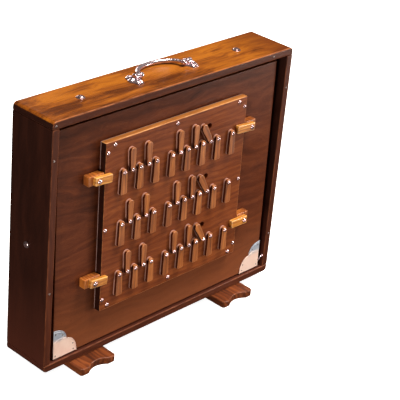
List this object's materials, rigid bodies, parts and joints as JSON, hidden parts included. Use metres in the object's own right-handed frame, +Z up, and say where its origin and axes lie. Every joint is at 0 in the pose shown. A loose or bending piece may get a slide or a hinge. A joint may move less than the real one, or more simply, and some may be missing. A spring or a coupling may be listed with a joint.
{
  "type": "shruti box",
  "caption": "Wooden hand-pumped reed drone: recessed reservoir board with rows of stop levers on a reed board, turn buttons, carrying handle and swivel feet.",
  "frame": {"origin": "on the floor under the middle of the case, at the feet's undersides", "axes": "+Z up, -Y the front with the levers, +X to the player's right as they look at the levers"},
  "size_m": [0.4048, 0.115, 0.3492],
  "materials": {
    "teak": "polished reddish-brown teak with a clear lacquer, lighter on top",
    "dark_walnut": "dark lacquered figured wood",
    "reed_board_wood": "lacquered red-brown wood with straight grain",
    "lever_wood": "satin mid-brown wood",
    "latch_wood": "golden lacquered light wood",
    "latch_block_wood": "orange-brown lacquered wood",
    "chrome": "bright plated",
    "nickel_sheet": "embossed bright nickel sheet",
    "black_leather": "matt black bellows leather",
    "cream_leather": "undyed soft leather",
    "brass": "satin reed brass",
    "spring_steel": "oiled spring steel"
  },
  "bodies": {
    "case": {"left_side": "teak", "right_side": "teak", "top_board": "teak", "bottom_board": "teak", "centre_board": "dark_walnut", "handle_plate_left": "chrome", "handle_plate_right": "chrome", "reservoir_bellows": "black_leather", "pump_bellows": "black_leather"},
    "reservoir": {"front_board": "dark_walnut", "reed_board": "reed_board_wood", "corner_plate_left": "nickel_sheet", "corner_plate_right": "nickel_sheet"},
    "handle": {"handle_bar": "chrome"},
    "pump": {"pump_board": "dark_walnut"},
    "left_foot": {"foot_left": "teak"},
    "right_foot": {"foot_right": "teak"},
    "button_upper_left": {"turn_button_upper_left": "latch_wood"},
    "button_upper_right": {"turn_button_upper_right": "latch_wood"},
    "button_lower_left": {"turn_button_lower_left": "latch_wood"},
    "button_lower_right": {"turn_button_lower_right": "latch_wood"},
    "stop_top_c": {"lever_top_c": "lever_wood"},
    "stop_top_c_sharp": {"lever_top_c_sharp": "lever_wood"},
    "stop_top_d": {"lever_top_d": "lever_wood"},
    "stop_top_d_sharp": {"lever_top_d_sharp": "lever_wood"},
    "stop_top_e": {"lever_top_e": "lever_wood"},
    "stop_top_f": {"lever_top_f": "lever_wood"},
    "stop_top_f_sharp": {"lever_top_f_sharp": "lever_wood"},
    "stop_top_g": {"lever_top_g": "lever_wood"},
    "stop_top_g_sharp": {"lever_top_g_sharp": "lever_wood"},
    "stop_top_a": {"lever_top_a": "lever_wood"},
    "stop_top_a_sharp": {"lever_top_a_sharp": "lever_wood"},
    "stop_top_b": {"lever_top_b": "lever_wood"},
    "stop_top_high_c": {"lever_top_high_c": "lever_wood"},
    "stop_middle_c": {"lever_middle_c": "lever_wood"},
    "stop_middle_c_sharp": {"lever_middle_c_sharp": "lever_wood"},
    "stop_middle_d": {"lever_middle_d": "lever_wood"},
    "stop_middle_d_sharp": {"lever_middle_d_sharp": "lever_wood"},
    "stop_middle_e": {"lever_middle_e": "lever_wood"},
    "stop_middle_f": {"lever_middle_f": "lever_wood"},
    "stop_middle_f_sharp": {"lever_middle_f_sharp": "lever_wood"},
    "stop_middle_g": {"lever_middle_g": "lever_wood"},
    "stop_middle_g_sharp": {"lever_middle_g_sharp": "lever_wood"},
    "stop_middle_a": {"lever_middle_a": "lever_wood"},
    "stop_middle_a_sharp": {"lever_middle_a_sharp": "lever_wood"},
    "stop_middle_b": {"lever_middle_b": "lever_wood"},
    "stop_middle_high_c": {"lever_middle_high_c": "lever_wood"},
    "stop_bottom_c": {"lever_bottom_c": "lever_wood"},
    "stop_bottom_c_sharp": {"lever_bottom_c_sharp": "lever_wood"},
    "stop_bottom_d": {"lever_bottom_d": "lever_wood"},
    "stop_bottom_d_sharp": {"lever_bottom_d_sharp": "lever_wood"},
    "stop_bottom_e": {"lever_bottom_e": "lever_wood"},
    "stop_bottom_f": {"lever_bottom_f": "lever_wood"},
    "stop_bottom_f_sharp": {"lever_bottom_f_sharp": "lever_wood"},
    "stop_bottom_g": {"lever_bottom_g": "lever_wood"},
    "stop_bottom_g_sharp": {"lever_bottom_g_sharp": "lever_wood"},
    "stop_bottom_a": {"lever_bottom_a": "lever_wood"},
    "stop_bottom_a_sharp": {"lever_bottom_a_sharp": "lever_wood"},
    "stop_bottom_b": {"lever_bottom_b": "lever_wood"},
    "stop_bottom_high_c": {"lever_bottom_high_c": "lever_wood"}
  },
  "joints": [
    {"name": "reservoir_hinge", "type": "hinge", "parent": "case", "child": "reservoir", "pos_m": [0, -0.0222, 0.0215], "axis": [1, 0, 0], "range_deg": [0, 7], "stiffness_Nm_per_rad": 8, "springref_deg": -20.05},
    {"name": "pump_hinge", "type": "hinge", "parent": "case", "child": "pump", "pos_m": [0, 0.0205, 0.024], "axis": [-1, 0, 0], "range_deg": [0, 14]},
    {"name": "handle_swing", "type": "hinge", "parent": "case", "child": "handle", "pos_m": [0, 0, 0.345], "axis": [1, 0, 0], "range_deg": [0, 188]},
    {"name": "left_foot_swivel", "type": "hinge", "parent": "case", "child": "left_foot", "pos_m": [-0.1305, 0, 0.005], "axis": [0, 0, 1], "range_deg": [0, 90]},
    {"name": "right_foot_swivel", "type": "hinge", "parent": "case", "child": "right_foot", "pos_m": [0.1195, 0, 0.005], "axis": [0, 0, 1], "range_deg": [0, 90]},
    {"name": "turn_button_upper_left_turn", "type": "hinge", "parent": "reservoir", "child": "button_upper_left", "pos_m": [-0.132, -0.03641, 0.25035], "axis": [0, -0.9998, 0.0209], "range_deg": [0, 94]},
    {"name": "turn_button_upper_right_turn", "type": "hinge", "parent": "reservoir", "child": "button_upper_right", "pos_m": [0.1275, -0.03642, 0.24985], "axis": [0, -0.9998, 0.0209], "range_deg": [-85.4, 0]},
    {"name": "turn_button_lower_left_turn", "type": "hinge", "parent": "reservoir", "child": "button_lower_left", "pos_m": [-0.1325, -0.03924, 0.11538], "axis": [0, -0.9998, 0.0209], "range_deg": [0, 96]},
    {"name": "turn_button_lower_right_turn", "type": "hinge", "parent": "reservoir", "child": "button_lower_right", "pos_m": [0.129, -0.03923, 0.11588], "axis": [0, -0.9998, 0.0209], "range_deg": [-89, 0]},
    {"name": "lever_top_c_turn", "type": "hinge", "parent": "reservoir", "child": "stop_top_c", "pos_m": [-0.0924, -0.03642, 0.24995], "axis": [0, -0.9998, 0.0209], "range_deg": [-30, 30]},
    {"name": "lever_top_c_sharp_turn", "type": "hinge", "parent": "reservoir", "child": "stop_top_c_sharp", "pos_m": [-0.0792, -0.03642, 0.24995], "axis": [0, -0.9998, 0.0209], "range_deg": [-30, 30]},
    {"name": "lever_top_d_turn", "type": "hinge", "parent": "reservoir", "child": "stop_top_d", "pos_m": [-0.066, -0.03642, 0.24995], "axis": [0, -0.9998, 0.0209], "range_deg": [-30, 30]},
    {"name": "lever_top_d_sharp_turn", "type": "hinge", "parent": "reservoir", "child": "stop_top_d_sharp", "pos_m": [-0.0528, -0.03642, 0.24995], "axis": [0, -0.9998, 0.0209], "range_deg": [-30, 30]},
    {"name": "lever_top_e_turn", "type": "hinge", "parent": "reservoir", "child": "stop_top_e", "pos_m": [-0.0396, -0.03642, 0.24995], "axis": [0, -0.9998, 0.0209], "range_deg": [-30, 30]},
    {"name": "lever_top_f_turn", "type": "hinge", "parent": "reservoir", "child": "stop_top_f", "pos_m": [-0.0132, -0.03642, 0.24995], "axis": [0, -0.9998, 0.0209], "range_deg": [-30, 30]},
    {"name": "lever_top_f_sharp_turn", "type": "hinge", "parent": "reservoir", "child": "stop_top_f_sharp", "pos_m": [0, -0.03642, 0.24995], "axis": [0, -0.9998, 0.0209], "range_deg": [-30, 30]},
    {"name": "lever_top_g_turn", "type": "hinge", "parent": "reservoir", "child": "stop_top_g", "pos_m": [0.0132, -0.03642, 0.24995], "axis": [0, -0.9998, 0.0209], "range_deg": [-30, 30]},
    {"name": "lever_top_g_sharp_turn", "type": "hinge", "parent": "reservoir", "child": "stop_top_g_sharp", "pos_m": [0.0264, -0.03642, 0.24995], "axis": [0, -0.9998, 0.0209], "range_deg": [-10, 30]},
    {"name": "lever_top_a_turn", "type": "hinge", "parent": "reservoir", "child": "stop_top_a", "pos_m": [0.0396, -0.03642, 0.24995], "axis": [0, -0.9998, 0.0209], "range_deg": [-30, 30]},
    {"name": "lever_top_a_sharp_turn", "type": "hinge", "parent": "reservoir", "child": "stop_top_a_sharp", "pos_m": [0.0528, -0.03642, 0.24995], "axis": [0, -0.9998, 0.0209], "range_deg": [-60, 0]},
    {"name": "lever_top_b_turn", "type": "hinge", "parent": "reservoir", "child": "stop_top_b", "pos_m": [0.066, -0.03642, 0.24995], "axis": [0, -0.9998, 0.0209], "range_deg": [-30, 30]},
    {"name": "lever_top_high_c_turn", "type": "hinge", "parent": "reservoir", "child": "stop_top_high_c", "pos_m": [0.0924, -0.03642, 0.24995], "axis": [0, -0.9998, 0.0209], "range_deg": [-30, 30]},
    {"name": "lever_middle_c_turn", "type": "hinge", "parent": "reservoir", "child": "stop_middle_c", "pos_m": [-0.0924, -0.03785, 0.18156], "axis": [0, -0.9998, 0.0209], "range_deg": [-30, 30]},
    {"name": "lever_middle_c_sharp_turn", "type": "hinge", "parent": "reservoir", "child": "stop_middle_c_sharp", "pos_m": [-0.0792, -0.03785, 0.18156], "axis": [0, -0.9998, 0.0209], "range_deg": [-30, 30]},
    {"name": "lever_middle_d_turn", "type": "hinge", "parent": "reservoir", "child": "stop_middle_d", "pos_m": [-0.066, -0.03785, 0.18156], "axis": [0, -0.9998, 0.0209], "range_deg": [-30, 30]},
    {"name": "lever_middle_d_sharp_turn", "type": "hinge", "parent": "reservoir", "child": "stop_middle_d_sharp", "pos_m": [-0.0528, -0.03785, 0.18156], "axis": [0, -0.9998, 0.0209], "range_deg": [-30, 30]},
    {"name": "lever_middle_e_turn", "type": "hinge", "parent": "reservoir", "child": "stop_middle_e", "pos_m": [-0.0396, -0.03785, 0.18156], "axis": [0, -0.9998, 0.0209], "range_deg": [-30, 30]},
    {"name": "lever_middle_f_turn", "type": "hinge", "parent": "reservoir", "child": "stop_middle_f", "pos_m": [-0.0132, -0.03785, 0.18156], "axis": [0, -0.9998, 0.0209], "range_deg": [-30, 30]},
    {"name": "lever_middle_f_sharp_turn", "type": "hinge", "parent": "reservoir", "child": "stop_middle_f_sharp", "pos_m": [0, -0.03785, 0.18156], "axis": [0, -0.9998, 0.0209], "range_deg": [-30, 30]},
    {"name": "lever_middle_g_turn", "type": "hinge", "parent": "reservoir", "child": "stop_middle_g", "pos_m": [0.0132, -0.03785, 0.18156], "axis": [0, -0.9998, 0.0209], "range_deg": [-30, 30]},
    {"name": "lever_middle_g_sharp_turn", "type": "hinge", "parent": "reservoir", "child": "stop_middle_g_sharp", "pos_m": [0.0264, -0.03785, 0.18156], "axis": [0, -0.9998, 0.0209], "range_deg": [-10, 30]},
    {"name": "lever_middle_a_turn", "type": "hinge", "parent": "reservoir", "child": "stop_middle_a", "pos_m": [0.0396, -0.03785, 0.18156], "axis": [0, -0.9998, 0.0209], "range_deg": [-30, 30]},
    {"name": "lever_middle_a_sharp_turn", "type": "hinge", "parent": "reservoir", "child": "stop_middle_a_sharp", "pos_m": [0.0528, -0.03785, 0.18156], "axis": [0, -0.9998, 0.0209], "range_deg": [-60, 0]},
    {"name": "lever_middle_b_turn", "type": "hinge", "parent": "reservoir", "child": "stop_middle_b", "pos_m": [0.066, -0.03785, 0.18156], "axis": [0, -0.9998, 0.0209], "range_deg": [-30, 30]},
    {"name": "lever_middle_high_c_turn", "type": "hinge", "parent": "reservoir", "child": "stop_middle_high_c", "pos_m": [0.0924, -0.03785, 0.18156], "axis": [0, -0.9998, 0.0209], "range_deg": [-30, 30]},
    {"name": "lever_bottom_c_turn", "type": "hinge", "parent": "reservoir", "child": "stop_bottom_c", "pos_m": [-0.0924, -0.03928, 0.11318], "axis": [0, -0.9998, 0.0209], "range_deg": [-30, 30]},
    {"name": "lever_bottom_c_sharp_turn", "type": "hinge", "parent": "reservoir", "child": "stop_bottom_c_sharp", "pos_m": [-0.0792, -0.03928, 0.11318], "axis": [0, -0.9998, 0.0209], "range_deg": [-30, 30]},
    {"name": "lever_bottom_d_turn", "type": "hinge", "parent": "reservoir", "child": "stop_bottom_d", "pos_m": [-0.066, -0.03928, 0.11318], "axis": [0, -0.9998, 0.0209], "range_deg": [-30, 30]},
    {"name": "lever_bottom_d_sharp_turn", "type": "hinge", "parent": "reservoir", "child": "stop_bottom_d_sharp", "pos_m": [-0.0528, -0.03928, 0.11318], "axis": [0, -0.9998, 0.0209], "range_deg": [-30, 30]},
    {"name": "lever_bottom_e_turn", "type": "hinge", "parent": "reservoir", "child": "stop_bottom_e", "pos_m": [-0.0396, -0.03928, 0.11318], "axis": [0, -0.9998, 0.0209], "range_deg": [-30, 30]},
    {"name": "lever_bottom_f_turn", "type": "hinge", "parent": "reservoir", "child": "stop_bottom_f", "pos_m": [-0.0132, -0.03928, 0.11318], "axis": [0, -0.9998, 0.0209], "range_deg": [-30, 30]},
    {"name": "lever_bottom_f_sharp_turn", "type": "hinge", "parent": "reservoir", "child": "stop_bottom_f_sharp", "pos_m": [0, -0.03928, 0.11318], "axis": [0, -0.9998, 0.0209], "range_deg": [-30, 30]},
    {"name": "lever_bottom_g_turn", "type": "hinge", "parent": "reservoir", "child": "stop_bottom_g", "pos_m": [0.0132, -0.03928, 0.11318], "axis": [0, -0.9998, 0.0209], "range_deg": [-30, 30]},
    {"name": "lever_bottom_g_sharp_turn", "type": "hinge", "parent": "reservoir", "child": "stop_bottom_g_sharp", "pos_m": [0.0264, -0.03928, 0.11318], "axis": [0, -0.9998, 0.0209], "range_deg": [-10, 30]},
    {"name": "lever_bottom_a_turn", "type": "hinge", "parent": "reservoir", "child": "stop_bottom_a", "pos_m": [0.0396, -0.03928, 0.11318], "axis": [0, -0.9998, 0.0209], "range_deg": [-30, 30]},
    {"name": "lever_bottom_a_sharp_turn", "type": "hinge", "parent": "reservoir", "child": "stop_bottom_a_sharp", "pos_m": [0.0528, -0.03928, 0.11318], "axis": [0, -0.9998, 0.0209], "range_deg": [-60, 0]},
    {"name": "lever_bottom_b_turn", "type": "hinge", "parent": "reservoir", "child": "stop_bottom_b", "pos_m": [0.066, -0.03928, 0.11318], "axis": [0, -0.9998, 0.0209], "range_deg": [-30, 30]},
    {"name": "lever_bottom_high_c_turn", "type": "hinge", "parent": "reservoir", "child": "stop_bottom_high_c", "pos_m": [0.0924, -0.03928, 0.11318], "axis": [0, -0.9998, 0.0209], "range_deg": [-30, 30]}
  ]
}
